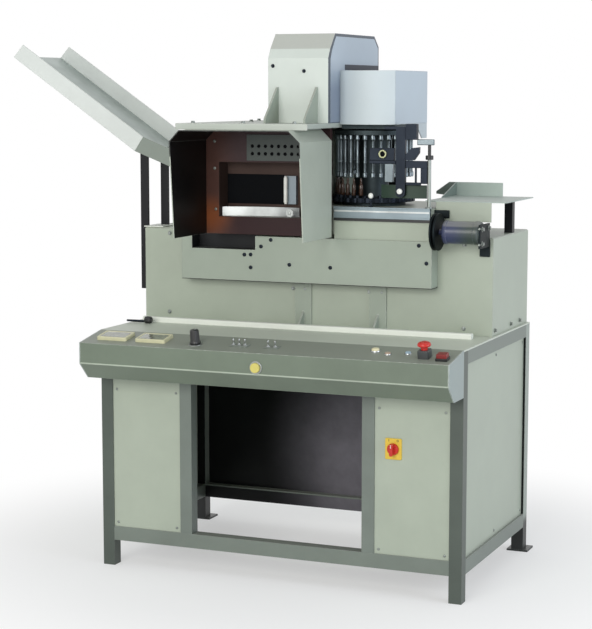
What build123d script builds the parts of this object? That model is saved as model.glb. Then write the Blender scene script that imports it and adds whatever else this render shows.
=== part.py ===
"""Ampoule inspection machine: a seated inspection desk with a viewing hood,
a turret of spindles, an infeed chute and an outfeed tray.

Millimetres, +Z up, the operator sits on the -Y side.  Positions inside the
functions are measured from the front left corner of the steel frame
(x to the right, y to the rear, z up from the floor).
"""

import os
from math import atan2, cos, radians, sin

from build123d import *

os.makedirs("parts", exist_ok=True)

# driving dimensions
frame_width = 1200
frame_depth = 708
tube = 40                     # square frame tube
rail_low, rail_high = 83, 128  # bottom rails
table_height = 760
table_plate = 5
sheet = 3                     # panel sheet

console_overhang = 138
console_edge_top = 736
console_ridge = 670
console_bottom = 620
console_toe = 88

knee_left, knee_right = 276, 884  # left faces of the inner posts

housing_front, housing_back = 310, 700
housing_right = 1192
housing_top = 1064
cover_front = 250
cover_left, cover_right = 164, 1014
cover_bottom, cover_top = 907, 1050

hood_left, hood_right = 256, 690
hood_front_top, hood_front_low = -23, 8
hood_low, hood_high = 1056, 1390
hood_bevel = 35
hood_rear = 238
deck_low, deck_high = 1395, 1410

tower_left, tower_right = 498, 698
tower_front, tower_back = 187, 628
tower_high = 1684

turret_x, turret_y = 763, 420
spindle_count = 30
spindle_circle = 118          # radius through the spindle axes
disc_radius = 130
bed_top = 1150
disc_low, disc_high = 1162, 1176
upper_low, upper_high = 1372, 1386
ampoule_height = 62

chute_front, chute_back = 342, 652
chute_sheet = 3

tray_left, tray_right = 977, 1235
tray_front, tray_back = 296, 600
tray_floor = 1171

# the frame corner, so that the whole machine's box is centred on the origin
x_shift = -361.5
y_shift = -294.0


# planes and helpers
def level(z):
    """Horizontal plane at height z."""
    return Plane(origin=(x_shift, y_shift, z))


def upright(y):
    """Plane facing the operator: local x is to the right, local y is up."""
    return Plane(origin=(x_shift, y_shift + y, 0), x_dir=(1, 0, 0), z_dir=(0, -1, 0))


def section(x):
    """Plane across the machine: local x is to the rear, local y is up."""
    return Plane(origin=(x_shift + x, y_shift, 0), x_dir=(0, 1, 0), z_dir=(1, 0, 0))


def block(x, y, z, mode=Mode.ADD):
    """Square-edged block between the pairs x, y and z."""
    with BuildSketch(level(z[0])) as foot:
        with Locations(((x[0] + x[1]) / 2, (y[0] + y[1]) / 2)):
            Rectangle(x[1] - x[0], y[1] - y[0])
    extrude(foot.sketch, amount=z[1] - z[0], mode=mode)


def rod(plane, centre, radius, length, mode=Mode.ADD):
    """Round bar that starts on a plane and runs along its normal."""
    with BuildSketch(plane) as end:
        with Locations(centre):
            Circle(radius)
    extrude(end.sketch, amount=length, mode=mode)


def outline(plane, points, thickness, mode=Mode.ADD):
    """Flat plate with straight edges, thickened along the plane's normal."""
    with BuildSketch(plane) as shape:
        with BuildLine():
            Polyline(*points, close=True)
        make_face()
    extrude(shape.sketch, amount=thickness, mode=mode)


def save(builder, name):
    """Label a finished piece and write its STEP file."""
    builder.part.label = name
    export_step(builder.part, f"parts/{name}.step")


# welded frame: the rear legs stand on plates that are bolted to the floor
foot = 6
with BuildPart() as uprights:
    for x in (0, frame_width - tube):
        for y, bottom in ((0, 0), (frame_depth - tube, foot)):
            block((x, x + tube), (y, y + tube), (bottom, table_height - table_plate))
    for x in (knee_left, knee_right):
        block((x, x + tube), (0, tube), (rail_high, table_height - table_plate - tube))
save(uprights, "uprights")

with BuildPart() as foot_plates:
    for x in (-15, frame_width - tube - 15):
        block((x, x + tube + 30), (frame_depth - tube, frame_depth + 30), (0, foot))
        rod(level(0), (x + 35, frame_depth + 15), 6, foot, mode=Mode.SUBTRACT)
save(foot_plates, "foot_plates")

with BuildPart() as rails:
    for low, high in ((rail_low, rail_high), (table_height - table_plate - tube, table_height - table_plate)):
        for y in (0, frame_depth - tube):
            block((tube, frame_width - tube), (y, y + tube), (low, high))
        for x in (0, frame_width - tube):
            block((x, x + tube), (tube, frame_depth - tube), (low, high))
save(rails, "rails")

with BuildPart() as table_top:
    block((0, frame_width), (0, frame_depth), (table_height - table_plate, table_height))
save(table_top, "table_top")

# cladding under the table
panel_z = (rail_high, table_height - table_plate - tube)
with BuildPart() as front_panels:
    block((tube, knee_left), (3, 3 + sheet), panel_z)
    block((knee_right + tube, frame_width - tube), (3, 3 + sheet), panel_z)
save(front_panels, "front_panels")

with BuildPart() as side_panels:
    block((8, 8 + sheet), (tube, frame_depth - tube), panel_z)
    block((frame_width - 8 - sheet, frame_width - 8), (tube, frame_depth - tube), panel_z)
save(side_panels, "side_panels")

with BuildPart() as rear_panels:
    seam = frame_width / 2
    block((tube, seam - 1), (frame_depth - 8, frame_depth - 5), panel_z)
    block((seam + 1, frame_width - tube), (frame_depth - 8, frame_depth - 5), panel_z)
save(rear_panels, "rear_panels")

# sloping instrument console
console_profile = [
    (0, table_height),
    (-console_overhang, console_edge_top),
    (-console_overhang, console_ridge),
    (-console_toe, console_bottom),
    (0, console_bottom),
]
with BuildPart() as console:
    outline(section(sheet), console_profile, frame_width - 2 * sheet)
save(console, "console")

with BuildPart() as console_ends:
    outline(section(0), console_profile, sheet)
    outline(section(frame_width - sheet), console_profile, sheet)
save(console_ends, "console_ends")

slope = atan2(table_height - console_edge_top, console_overhang)
desk = Plane(
    origin=(x_shift, y_shift - console_overhang, console_edge_top),
    x_dir=(1, 0, 0),
    z_dir=(0, -sin(slope), cos(slope)),
)

desk_up = Axis(desk.origin, desk.z_dir)

with BuildPart() as meters:
    for x in (93, 226):
        with BuildSketch(desk) as meter_foot:
            with Locations((x, 70)):
                RectangleRounded(102, 66, 4)
        extrude(meter_foot.sketch, amount=11)
        with BuildSketch(desk.offset(11)) as dial_window:
            with Locations((x, 74)):
                Rectangle(88, 44)
        extrude(dial_window.sketch, amount=-2, mode=Mode.SUBTRACT)
save(meters, "meters")

knob_at = (376, 50)
main_switch_at = (984, 452)
with BuildPart() as switch_plates:
    rod(desk, knob_at, 21, 2)
    with BuildSketch(upright(3)) as switch_face:
        with Locations(main_switch_at):
            RectangleRounded(52, 64, 4)
    extrude(switch_face.sketch, amount=4)
    with BuildSketch(desk) as stop_foot:
        with Locations((1108, 56)):
            Rectangle(34, 36)
    extrude(stop_foot.sketch, amount=24)
save(switch_plates, "switch_plates")

with BuildPart() as speed_knob:
    with BuildSketch(desk.offset(2.5)) as knob_grip:
        with Locations(knob_at):
            RegularPolygon(17, 16)
    extrude(knob_grip.sketch, amount=44)
    chamfer(speed_knob.faces().sort_by(desk_up)[-1].edges(), 2)
save(speed_knob, "speed_knob")

with BuildPart() as switch_knob:
    rod(upright(-1.5), main_switch_at, 18, 8)
    with BuildSketch(upright(-9.5)) as grip:
        with Locations(main_switch_at):
            Rectangle(11, 38)
            chamfer(grip.vertices(), 3)
    extrude(grip.sketch, amount=16)
save(switch_knob, "switch_knob")

def studs(plane, places, radius, sides, height, mode=Mode.ADD):
    """A row of small many-sided studs, for what is too small to need a true circle."""
    with BuildSketch(plane) as stud:
        with Locations(*places):
            RegularPolygon(radius, sides)
    extrude(stud.sketch, amount=height, mode=mode)


toggle_places = [(x, 64) for x in (498, 517, 536, 612, 635)]
with BuildPart() as switches_and_lamps:
    studs(desk, toggle_places, 6, 6, 5)
    studs(desk.offset(5), toggle_places, 2.5, 8, 16)
    studs(desk, [(946, 86)], 15, 16, 10)
    studs(desk, [(992, 64), (1049, 80)], 11, 12, 10)
save(switches_and_lamps, "switches_and_lamps")

with BuildPart() as push_buttons:
    studs(desk.offset(24), [(1108, 56)], 10, 12, 10)
    with BuildSketch(desk.offset(34)) as mushroom:
        with Locations((1108, 56)):
            Circle(20)
    extrude(mushroom.sketch, amount=14)
    chamfer(push_buttons.faces().sort_by(desk_up)[-1].edges(), 5)
    with BuildSketch(desk) as square_foot:
        with Locations((1166, 44)):
            Rectangle(36, 34)
            chamfer(square_foot.vertices(), 3)
    extrude(square_foot.sketch, amount=20)
    rod(upright(-console_overhang), (599, 693), 20, 4)
    rod(upright(-console_overhang - 4), (599, 693), 15, 8)
save(push_buttons, "push_buttons")

with BuildPart() as edge_strip:
    block((30, 1150), (228, 250), (table_height, table_height + 17))
    fillet(edge_strip.edges().filter_by(Axis.X).group_by(Axis.Z)[-1], 5)
save(edge_strip, "edge_strip")

with BuildPart() as table_lever:
    rod(section(-6), (186, table_height + 7), 4, 66)
    rod(section(60), (186, table_height + 12), 12, 26)
save(table_lever, "table_lever")

# machine housing on the table
with BuildPart() as housing:
    block((0, housing_right), (housing_front, housing_back), (table_height, housing_top))
    chamfer(housing.edges().group_by(Axis.Z)[-1], 4)
save(housing, "housing")

notch_x = (200, 424)
notch_low = 1006
with BuildPart() as front_cover:
    block((cover_left, cover_right), (cover_front, housing_front), (cover_bottom, cover_top))
    block(notch_x, (cover_front - 1, housing_front - 4), (notch_low, cover_top + 1), mode=Mode.SUBTRACT)
save(front_cover, "front_cover")

with BuildPart() as housing_gussets:
    for x in (567, 820):
        outline(section(x - 3), [(252, 760), (housing_front, 760), (housing_front, 818)], 6)
        outline(section(x - 28), [(304, 760), (310, 760), (310, 900), (304, 900)], 56)
save(housing_gussets, "housing_gussets")

with BuildPart() as machine_bed:
    block((632, 1010), (262, 640), (housing_top, bed_top))
    block((hood_right + 2, cover_right), (cover_front + 6, 262), (cover_top, 1108))
    block((hood_right + 2, 1010), (262, housing_front), (housing_top, 1108))
save(machine_bed, "machine_bed")

with BuildPart() as guide_rail:
    block((hood_right + 2, 1008), (246, 262), (1117, 1152))
    block((hood_right, 1010), (244, 249), (1121, 1148), mode=Mode.SUBTRACT)
save(guide_rail, "guide_rail")

# inspection housing, window and hood
window_x, window_z = (303, 600), (1111, 1285)
recess_depth = 56
with BuildPart() as inspection_housing:
    block((262, 626), (250, 640), (housing_top, deck_low))
    block(window_x, (249, 250 + recess_depth), window_z, mode=Mode.SUBTRACT)
save(inspection_housing, "inspection_housing")

with BuildPart() as window_frame:
    block((hood_left + 3, hood_right - 3), (hood_rear, 250), (hood_low, deck_low))
    block(window_x, (hood_rear - 1, 251), window_z, mode=Mode.SUBTRACT)
save(window_frame, "window_frame")

with BuildPart() as vent_plate:
    block((402, 664), (hood_rear - 3, hood_rear), (1290, 1372))
    with BuildSketch(upright(hood_rear)) as vent_holes:
        with Locations((534, 1324)):
            with GridLocations(22.5, 24, 11, 2):
                RegularPolygon(6, 8)
    extrude(vent_holes.sketch, amount=3, mode=Mode.SUBTRACT)
save(vent_plate, "vent_plate")

with BuildPart() as viewing_screen:
    block((304, 502), (250 + recess_depth - 4, 250 + recess_depth), (1150, 1244))
save(viewing_screen, "viewing_screen")

with BuildPart() as lamp_diffuser:
    block((508, 548), (250 + recess_depth - 16, 250 + recess_depth), (1152, 1241))
save(lamp_diffuser, "lamp_diffuser")

with BuildPart() as track_rail:
    with BuildSketch(level(window_z[0])) as track:
        with BuildLine():
            ThreePointArc((304, 262), (420, 292), (560, 288))
            Line((560, 288), (560, 294))
            ThreePointArc((560, 294), (420, 298), (304, 268))
            Line((304, 268), (304, 262))
        make_face()
    extrude(track.sketch, amount=30)
save(track_rail, "track_rail")

hood_outline = [
    (hood_left, hood_low),
    (hood_left, hood_high - hood_bevel),
    (hood_left + hood_bevel, hood_high),
    (hood_right - hood_bevel, hood_high),
    (hood_right, hood_high - hood_bevel),
    (hood_right, hood_low),
]
with BuildPart() as hood:
    with BuildSketch(upright(hood_rear)) as hood_section:
        with BuildLine():
            Polyline(*hood_outline)
            offset(amount=3, side=Side.RIGHT)
        make_face()
    extrude(hood_section.sketch, amount=hood_rear - hood_front_top)
    outline(
        section(hood_left - 5),
        [
            (hood_front_top - 1, hood_high),
            (hood_front_top - 1, hood_low - 1),
            (hood_front_low, hood_low - 1),
            (hood_front_top, hood_high),
        ],
        hood_right - hood_left + 10,
        mode=Mode.SUBTRACT,
    )
save(hood, "hood")

with BuildPart() as top_deck:
    block((hood_left + 4, tower_right), (20, 640), (deck_low, deck_high))
    block((hood_left + 36, hood_right - 36), (20, hood_rear), (hood_high, deck_low))
save(top_deck, "top_deck")

# lamp tower
tower_profile = [
    (tower_front, deck_high),
    (tower_front, 1608),
    (203, 1637),
    (244, tower_high),
    (588, tower_high),
    (tower_back, 1650),
    (tower_back, deck_high),
]
with BuildPart() as tower:
    outline(section(tower_left), tower_profile, tower_right - tower_left)
    block((tower_right - 4, tower_right + 1), (325, 622), (1574, 1588), mode=Mode.SUBTRACT)
save(tower, "tower")

with BuildPart() as tower_gussets:
    for x in (527, 658):
        outline(
            section(x),
            [(85, deck_high), (tower_front, deck_high), (tower_front, 1520), (180, 1520), (85, 1424)],
            6,
        )
save(tower_gussets, "tower_gussets")

# spindle turret
turret = Plane(origin=(x_shift + turret_x, y_shift + turret_y, 0))


def ring(z, outer, inner, height):
    """Flat ring about the turret axis."""
    with BuildSketch(turret.offset(z)) as face:
        Circle(outer)
        Circle(inner, mode=Mode.SUBTRACT)
    extrude(face.sketch, amount=height)


def circlet(z, circle, radius, sides, height, count=spindle_count, start=0, span=360):
    """The same small many-sided stud repeated on a circle about the turret axis."""
    with BuildSketch(turret.offset(z)) as face:
        with PolarLocations(circle, count, start_angle=start, angular_range=span):
            RegularPolygon(radius, sides)
    extrude(face.sketch, amount=height)


with BuildPart() as turret_column:
    rod(turret.offset(bed_top), (0, 0), 100, 9)
    rod(turret.offset(bed_top), (0, 0), 28, 1391 - bed_top)
    block((tower_right + 2, 876), (300, 575), (1391, 1405))
save(turret_column, "turret_column")

with BuildPart() as star_wheel:
    with BuildSketch(turret.offset(disc_low)) as star:
        Circle(disc_radius)
        Circle(30, mode=Mode.SUBTRACT)
        with PolarLocations(disc_radius + 3, spindle_count):
            RegularPolygon(8, 8, mode=Mode.SUBTRACT)
    extrude(star.sketch, amount=disc_high - disc_low)
    circlet(disc_high, spindle_circle - 1, 8.5, 8, 8)
save(star_wheel, "star_wheel")

with BuildPart() as turret_rotor:
    ring(disc_high, 46, 30, upper_low - disc_high)
    ring(upper_low, 126, 30, upper_high - upper_low)
save(turret_rotor, "turret_rotor")

# each spindle: a holding cup below, a slim rod and a drive head under the upper disc
rod_bottom = disc_high + ampoule_height + 2
with BuildPart() as spindles:
    circlet(rod_bottom, spindle_circle, 7, 8, 16)
    circlet(rod_bottom + 16, spindle_circle, 4.5, 6, upper_low - 14 - rod_bottom - 16)
    circlet(upper_low - 14, spindle_circle, 8, 6, 14)
save(spindles, "spindles")

# ampoules on the infeed side: a body in its cup, a shoulder and a drawn neck
ampoule_foot = disc_high + 8
with BuildPart() as ampoules:
    for low, radius, sides, height in ((0, 6.5, 8, 32), (32, 4.8, 8, 4), (36, 3.2, 6, 18)):
        circlet(ampoule_foot + low, spindle_circle, radius, sides, height, count=9, start=174, span=96)
save(ampoules, "ampoules")

# turret cover and its brackets
with BuildPart() as turret_cover:
    with BuildSketch(level(1405)) as cover_plan:
        with BuildLine():
            ThreePointArc((tower_right, 285), (789, 261), (880, 285))
            Polyline((880, 285), (880, 590), (tower_right, 590), (tower_right, 285))
        make_face()
    extrude(cover_plan.sketch, amount=1571 - 1405)
    outline(section(877), [(488, 1405), (590, 1405), (590, 1358), (542, 1358)], 3)
save(turret_cover, "turret_cover")

with BuildPart() as rear_guard:
    block((626, 800), (600, 603), (bed_top, deck_low))
    block((797, 800), (578, 600), (bed_top, deck_low))
save(rear_guard, "rear_guard")

with BuildPart() as inspection_arm:
    block((892, 922), (262, 275), (1198, 1400))
    rod(upright(275), (907, 1198), 15, 13)
    block((850, 922), (275, 300), (1391, 1400))
    block((922, 958), (264, 282), (1360, 1408))
    clamp = [(922, 1298), (950, 1298), (966, 1320), (967, 1338), (942, 1335), (922, 1314)]
    outline(upright(276), clamp, 12)
save(inspection_arm, "inspection_arm")

with BuildPart() as sensor_head:
    block((806, 892), (258, 268), (1286, 1296))
    block((858, 884), (256, 270), (1230, 1286))
    block((808, 888), (256, 270), (1296, 1334))
    rod(upright(256), (852, 1316), 13, 6)
save(sensor_head, "sensor_head")

with BuildPart() as guide_post:
    block((922, 992), (265, 275), (1286, 1298))
    block((973, 990), (265, 275), (1240, 1286))
    block((958, 1012), (268, 278), (1344, 1362))
    rod(level(bed_top), (998, 270), 7, 150)
    studs(level(1300), [(998, 270)], 12, 16, 13)
    studs(level(1313), [(998, 273)], 5, 8, 31)
save(guide_post, "guide_post")

with BuildPart() as arc_guard:
    with BuildSketch(level(1180)) as guard_face:
        with BuildLine():
            ThreePointArc((838, 282), (907, 275), (985, 286))
            Line((985, 286), (985, 289))
            ThreePointArc((985, 289), (907, 278), (838, 285))
            Line((838, 285), (838, 282))
        make_face()
    extrude(guard_face.sketch, amount=41)
save(arc_guard, "arc_guard")

# drive at the right end
drive_y, drive_z = 238, 1083
with BuildPart() as drive_motor:
    rod(section(1044), (drive_y, drive_z), 10, 14)
    rod(section(1058), (drive_y, drive_z), 36, 118)
save(drive_motor, "drive_motor")

# belt pulley: a many-sided wheel with a groove between two flanges
with BuildPart() as drive_pulley:
    for start, radius, width in ((1026, 57, 5), (1031, 50, 8), (1039, 57, 5)):
        studs(section(start), [(drive_y, drive_z)], radius, 48, width)
save(drive_pulley, "drive_pulley")

with BuildPart() as motor_bracket:
    block((1176, 1182), (206, 304), (1038, 1110))
    block((1150, 1182), (304, 310), (1006, 1060))
save(motor_bracket, "motor_bracket")

# outfeed tray
with BuildPart() as outfeed_tray:
    block((tray_left, tray_right), (tray_front, tray_back), (tray_floor, tray_floor + 3))
    block((tray_left, 1135), (tray_back - 3, tray_back), (tray_floor, tray_floor + 46))
    outline(
        section(tray_left),
        [(454, tray_floor), (tray_back, tray_floor), (tray_back, tray_floor + 46), (454, tray_floor + 6)],
        3,
    )
    deflector = [(912, 1178), (tray_left, 1171), (tray_left, 1217), (956, 1217), (912, 1186)]
    outline(upright(tray_back), deflector, 3)
save(outfeed_tray, "outfeed_tray")

with BuildPart() as tray_skirt:
    outline(
        upright(tray_front + 3),
        [(1012, 1112), (1188, 1112), (1188, tray_floor), (1012, tray_floor)],
        3,
    )
    block((1010, 1015), (tray_front + 3, 420), (1112, tray_floor))
save(tray_skirt, "tray_skirt")

# infeed chute: a long steep trough and a shallower mouth that leads to the hood
with BuildPart() as infeed_chute:
    steep = [(-512, 1622), (-54, 1311), (-22, 1358), (-475, 1663)]
    outline(upright(chute_front + chute_sheet), steep, chute_sheet)
    outline(upright(chute_back), steep, chute_sheet)
    steep_floor = [(-512, 1622), (-54, 1311), (-51.7, 1314.4), (-510, 1625)]
    outline(upright(chute_back), steep_floor, chute_back - chute_front)
save(infeed_chute, "infeed_chute")

with BuildPart() as chute_mouth:
    shallow = [(-54, 1311), (250, 1196), (250, 1252), (-22, 1358)]
    outline(upright(chute_front + chute_sheet), shallow, chute_sheet)
    outline(upright(chute_back), shallow, chute_sheet)
    shallow_floor = [(-54, 1311), (250, 1196), (250, 1199), (-51.7, 1314.4)]
    outline(upright(chute_back), shallow_floor, chute_back - chute_front)
save(chute_mouth, "chute_mouth")

with BuildPart() as support_posts:
    block((1163, 1189), (524, 550), (housing_top, tray_floor))
    outline(upright(352), [(-34, 855), (-6, 855), (-6, 1292.8), (-34, 1303.4)], 8)
    outline(upright(400), [(16, housing_top), (44, housing_top), (44, 1273.8), (16, 1284.4)], 8)
save(support_posts, "support_posts")
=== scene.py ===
# %% [markdown]
# # Dressing an ampoule inspection machine
# An operator sits at this desk and watches glass ampoules spin past a black
# screen. The ampoules slide down the chute on the left, a turret of spindles
# turns them in front of the eye, and they leave over the tray on the right.
# The sheet-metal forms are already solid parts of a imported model. This
# lesson adds what a paint shop and a fitter add: finishes, fasteners,
# dials and turned details, all in the same place and size as the model.

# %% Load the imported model
import math

import bmesh
import bpy
import numpy as np
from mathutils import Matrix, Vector


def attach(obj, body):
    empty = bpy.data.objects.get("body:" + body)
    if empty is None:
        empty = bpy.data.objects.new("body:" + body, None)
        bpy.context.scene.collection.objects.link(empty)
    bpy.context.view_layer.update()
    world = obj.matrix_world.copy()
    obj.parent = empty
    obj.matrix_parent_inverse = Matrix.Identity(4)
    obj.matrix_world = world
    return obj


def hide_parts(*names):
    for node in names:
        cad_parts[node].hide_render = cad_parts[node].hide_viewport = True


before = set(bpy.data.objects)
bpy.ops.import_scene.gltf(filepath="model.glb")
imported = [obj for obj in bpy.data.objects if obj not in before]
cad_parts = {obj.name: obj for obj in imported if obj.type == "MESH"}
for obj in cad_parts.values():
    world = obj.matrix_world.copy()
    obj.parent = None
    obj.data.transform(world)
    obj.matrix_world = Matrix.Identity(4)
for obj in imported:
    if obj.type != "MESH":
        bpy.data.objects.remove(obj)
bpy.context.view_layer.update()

# %% [markdown]
# Every position below is measured on the machine in millimetres, from the
# outer corner of its front left leg: x to the right, y to the rear, z up.
# One function turns such a point into the model's own metres. The console
# top slopes, so a second function walks up that slope. The faces that carry
# screws and dials get a name each, so that a list of bolts stays readable.

# %% Places on the machine
frame_shift = (-361.5, -294.0, 0.0)
desk_front, desk_edge, desk_rise = -138, 736, 24
panel_left, panel_right, panel_front, panel_back = 8, 1192, 3, 703
tower_front, window_front, cover_front, housing_front = 187, 238, 250, 310
bed_top, deck_top = 1150, 1410


def at(x, y, z):
    """Points measured from the frame's front left foot, in the model's metres: (p + shift) / 1000."""
    return (np.stack(np.broadcast_arrays(x, y, z), -1) + frame_shift) / 1000


def spot(x, y, z):
    """The same place as a plain tuple, for a shader's socket."""
    return tuple(at(x, y, z).tolist())


desk_slope = math.atan2(desk_rise, -desk_front)
desk_normal = (0.0, -math.sin(desk_slope), math.cos(desk_slope))


def on_desk(x, y, height=0.0):
    """A point y millimetres up the sloping console top, and height millimetres off it."""
    run, rise = math.cos(desk_slope), math.sin(desk_slope)
    return at(x, desk_front + y * run - height * rise, desk_edge + y * rise + height * run)


print("console slope in degrees:", round(math.degrees(desk_slope), 1))

# %% [markdown]
# The camera stands where the photographer stood. Its place was worked out
# once, from the edges of the frame, and is simply written down here. A long
# lens from nearly six metres away keeps the upright edges nearly parallel.

# %% Camera
scene = bpy.context.scene
link = scene.collection.objects.link
camera_data = bpy.data.cameras.new("photo_camera")
camera_data.lens = 102.23
camera = bpy.data.objects.new("photo_camera", camera_data)
link(camera)
yaw, pitch = math.radians(22.86), math.radians(7.11)
backwards = Vector(
    (math.sin(yaw) * math.cos(pitch), -math.cos(yaw) * math.cos(pitch), math.sin(pitch))
)
camera.location = (2.3832, -5.2148, 1.5059)
camera.rotation_mode = "QUATERNION"
camera.rotation_quaternion = (-backwards).to_track_quat("-Z", "Y")
scene.camera = camera
scene.view_settings.view_transform = "Standard"
print("camera at", [round(x, 2) for x in camera.location])

# %% [markdown]
# A material is a small network of nodes. One helper turns the colour a
# painter would write, such as #b0b8aa, into the linear numbers that light
# is computed in. Another adds a node together with its settings and links.


# %% Helpers for materials
def linear(colour):
    """sRGB hex to linear: c / 12.92 below 0.04045, otherwise ((c + 0.055) / 1.055) to the power 2.4."""
    value = np.array([int(colour[i : i + 2], 16) / 255 for i in (1, 3, 5)])
    curve = np.where(value <= 0.04045, value / 12.92, ((value + 0.055) / 1.055) ** 2.4)
    return (*curve.tolist(), 1.0)


def add(tree, kind, inputs=None, **settings):
    """Adds one node: settings are its properties, inputs its sockets' values or what is linked to them."""
    made = tree.nodes.new("ShaderNode" + kind)
    for name, value in settings.items():
        setattr(made, name, value)
    for name, value in (inputs or {}).items():
        if isinstance(value, bpy.types.NodeSocket):
            tree.links.new(value, made.inputs[name])
        else:
            made.inputs[name].default_value = value
    return made


print("panel grey in linear light:", [round(x, 3) for x in linear("#b0b8aa")])

# %% [markdown]
# The same few nodes come back in every finish, so each has a short name
# that returns its result: a sum on numbers or on vectors, a change of
# range, a blend of two colours, a cloudy noise, a rounded normal and a bump.


# %% The nodes that every finish uses
def number(operation, first, second):
    """One sum on two numbers. The node joins the tree that its first socket belongs to."""
    return add(first.id_data, "Math", {0: first, 1: second}, operation=operation).outputs[0]


def vector(operation, first, *others):
    """One sum on vectors. A length and a dot product give a number, the others a vector."""
    made = add(first.id_data, "VectorMath", dict(enumerate((first, *others))), operation=operation)
    return made.outputs["Value" if operation in ("LENGTH", "DOT_PRODUCT") else "Vector"]


def remap(value, low, high, start=0.0, stop=1.0, kind="LINEAR"):
    """Takes value from the range start to stop over to low to high, and holds it there."""
    inputs = {"Value": value, "From Min": start, "From Max": stop, "To Min": low, "To Max": high}
    return add(value.id_data, "MapRange", inputs, interpolation_type=kind).outputs[0]


def blend(share, first, second):
    """A share of the second colour over the first one."""
    return add(share.id_data, "Mix", {0: share, 6: first, 7: second}, data_type="RGBA").outputs[2]


def toned(colour, tone):
    """A colour multiplied by a tone."""
    inputs = {0: 1.0, 6: colour, 7: tone}
    return add(tone.id_data, "Mix", inputs, data_type="RGBA", blend_type="MULTIPLY").outputs[2]


def noise(place, scale, detail, **more):
    """Cloudy noise with so many waves to the metre."""
    inputs = {"Vector": place, "Scale": scale, "Detail": detail, **more}
    return add(place.id_data, "TexNoise", inputs).outputs[0]


def bump(height, strength, distance, **more):
    """A relief of so many metres in the surface's normal."""
    inputs = {"Height": height, "Strength": strength, "Distance": distance, **more}
    return add(height.id_data, "Bump", inputs).outputs[0]


def rounded(tree, radius):
    """The surface's normal, rounded over a radius in metres where two faces meet."""
    return add(tree, "Bevel", {"Radius": radius}, samples=4).outputs[0]


def start_material(name):
    """An empty material: returns it with its tree and its object coordinates."""
    material = bpy.data.materials.new(name)
    material.use_nodes = True
    material.node_tree.nodes.clear()
    place = add(material.node_tree, "TexCoord").outputs["Object"]
    return material, material.node_tree, place


def close_material(material, colour, roughness, normal, more):
    """Plugs a principled shader into the material's output; more holds its other sockets."""
    sockets = {"Base Color": colour, "Roughness": roughness, "Normal": normal, **more}
    shader = add(material.node_tree, "BsdfPrincipled", sockets)
    add(material.node_tree, "OutputMaterial", {"Surface": shader.outputs[0]})
    return material


print("node helpers ready")

# %% [markdown]
# The studio is plain. The world gives an even sky light, a large lamp to the
# left of the camera models the fronts, and a faintly blue lamp cools the
# right-hand faces, as a window would. Only rays from the camera, or seen in
# metal and glass, meet the white backdrop.

# %% World light
sky_strength, backdrop_strength = 0.5, 1.0
plain_white = (1.0, 1.0, 1.0, 1.0)
world = bpy.data.worlds.new("studio")
world.use_nodes = True
scene.world = world
sky = world.node_tree
sky.nodes.clear()
ray = add(sky, "LightPath").outputs
seen = number("MAXIMUM", ray["Is Camera Ray"], ray["Is Glossy Ray"])
seen = number("MAXIMUM", seen, ray["Is Transmission Ray"])
lighting = add(sky, "Background", {"Color": (0.97, 0.99, 1.0, 1.0), "Strength": sky_strength})
backdrop = add(sky, "Background", {"Color": plain_white, "Strength": backdrop_strength})
both = add(sky, "MixShader", {0: seen, 1: lighting.outputs[0], 2: backdrop.outputs[0]})
add(sky, "OutputWorld", {"Surface": both.outputs[0]})
print("sky light", sky_strength, "backdrop", backdrop_strength)


# %% Lamps
def softbox(name, place, target, size, watts, colour):
    """A rectangular area lamp that faces a target."""
    data = bpy.data.lights.new(name, "AREA")
    data.shape = "RECTANGLE"
    data.size, data.size_y = size
    data.energy = watts
    data.color = linear(colour)[:3]
    lamp = bpy.data.objects.new(name, data)
    lamp.location = place
    aim = Vector(target) - Vector(place)
    lamp.rotation_mode = "QUATERNION"
    lamp.rotation_quaternion = aim.to_track_quat("-Z", "Y")
    link(lamp)
    print(name, watts, "watts")


softbox("key_lamp", (0.1, -5.6, 2.5), (0.2, 0.0, 0.8), (3.2, 2.4), 168, "#fffdf8")
softbox("cool_lamp", (4.8, -0.8, 2.0), (0.3, 0.0, 0.9), (2.4, 2.4), 78, "#eaf1ff")

# %% [markdown]
# Near the machine the floor is an ordinary matt surface that holds the
# shadow; further out it turns into the white of the backdrop, so no horizon
# shows. That change is for camera and mirror rays only, and adds no light.

# %% Floor
shadow_reach, white_reach = 0.7, 1.7
floor_material, tree, place = start_material("pale_studio_floor")
reach = vector("LENGTH", vector("SUBTRACT", place, spot(600, 354, 0)))
fade = remap(reach, 0.45, 1.0, shadow_reach, white_reach, "SMOOTHSTEP")
ray = add(tree, "LightPath").outputs
seen = number("MAXIMUM", ray["Is Camera Ray"], ray["Is Glossy Ray"])
amount = number("MULTIPLY", seen, fade)
matt = add(tree, "BsdfPrincipled", {"Base Color": linear("#f4f5f5"), "Roughness": 0.9})
glow = add(tree, "Emission", {"Color": plain_white, "Strength": backdrop_strength})
floor_shader = add(tree, "MixShader", {0: amount, 1: matt.outputs[0], 2: glow.outputs[0]})
add(tree, "OutputMaterial", {"Surface": floor_shader.outputs[0]})

floor_mesh = bpy.data.meshes.new("floor")
floor_mesh.from_pydata([(-40, -40, 0), (40, -40, 0), (40, 60, 0), (-40, 60, 0)], [], [(0, 1, 2, 3)])
floor_mesh.materials.append(floor_material)
floor = bpy.data.objects.new("floor", floor_mesh)
link(floor)
print("floor laid")

# %% [markdown]
# ## Finishes
# Nearly all the metalwork is sheet steel with a stoved paint: sprayed, then
# baked hard. It has a low sheen, a fine orange-peel skin, faint clouds where
# hands and rags have been, and pale edges: worn coat, and also a painted
# highlight where light catches them. The Bevel node finds those edges by
# rounding the surface's normal. Dust settles only on faces that look up. Some
# coats change colour from place to place, and take a list of patches; several
# of these patches are painted light and painted shade.

# %% Stoved paint
dust_colour = "#a9a9a2"


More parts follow.
